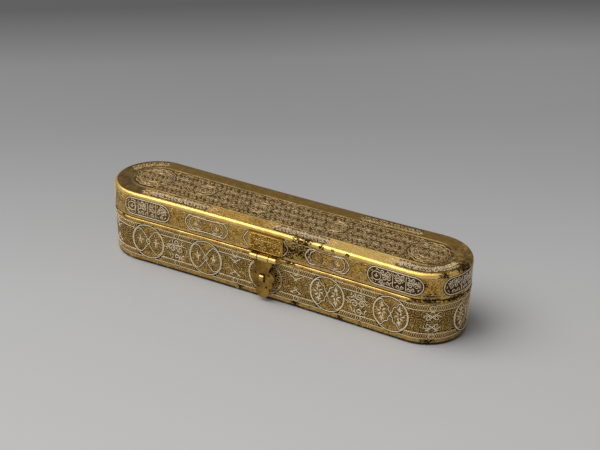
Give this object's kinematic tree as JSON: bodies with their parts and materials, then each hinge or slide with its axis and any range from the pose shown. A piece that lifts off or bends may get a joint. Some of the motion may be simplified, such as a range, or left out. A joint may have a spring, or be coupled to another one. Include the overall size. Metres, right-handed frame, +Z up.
{
  "type": "pen box",
  "caption": "Long brass pen box with round ends, a hinged lid, a hanging hasp over a staple, a pen trough, a covered inkwell and small pots for sand and paste.",
  "frame": {"origin": "on the surface that the box stands on, below the middle of its bounding box", "axes": "+X along the box towards the end with the inkwell, +Y towards the back hinges, +Z up"},
  "size_m": [0.2828, 0.0693, 0.0553],
  "materials": {
    "aged_brass": "satin",
    "rim_brass": "satin",
    "hasp_brass": "satin",
    "hinge_brass": "satin",
    "pin_brass": "satin",
    "fittings_brass": "satin",
    "silver_inlay": "satin"
  },
  "bodies": {
    "case": {"base_plate": "aged_brass", "case_wall": "aged_brass", "case_rim": "rim_brass", "rim_flange": "rim_brass", "silver_line_foot": "silver_inlay", "silver_line_rim": "silver_inlay", "hinge_case_leaf_left": "hinge_brass", "hinge_case_leaf_right": "hinge_brass", "hinge_pin_left": "pin_brass", "hinge_pin_right": "pin_brass", "hinge_case_rivets": "pin_brass", "staple": "pin_brass", "partition": "fittings_brass", "deck": "fittings_brass", "inkwell": "fittings_brass", "inkwell_pin": "pin_brass", "sand_pot": "fittings_brass", "paste_pot": "fittings_brass"},
    "lid": {"lid_wall": "aged_brass", "lid_top": "aged_brass", "silver_line_lid_low": "silver_inlay", "silver_line_lid_high": "silver_inlay", "hinge_lid_leaf_left": "hinge_brass", "hinge_lid_leaf_right": "hinge_brass", "hinge_lid_rivets": "pin_brass", "hasp_plate": "hasp_brass", "hasp_plate_rivets": "pin_brass", "hasp_pin": "pin_brass"},
    "hasp": {"hasp": "hasp_brass"},
    "inkwell_cover": {"inkwell_cover": "fittings_brass"}
  },
  "joints": [
    {"name": "lid_hinge", "type": "hinge", "parent": "case", "child": "lid", "pos_m": [0, 0.03224, 0.03555], "axis": [-1, 0, 0], "range_deg": [0, 180]},
    {"name": "hasp_hinge", "type": "hinge", "parent": "lid", "child": "hasp", "pos_m": [0.00035, -0.03215, 0.0346], "axis": [-1, 0, 0], "range_deg": [0, 180]},
    {"name": "inkwell_cover_hinge", "type": "hinge", "parent": "case", "child": "inkwell_cover", "pos_m": [0.1036, 0, 0.0286], "axis": [0, -1, 0], "range_deg": [0, 150]}
  ]
}
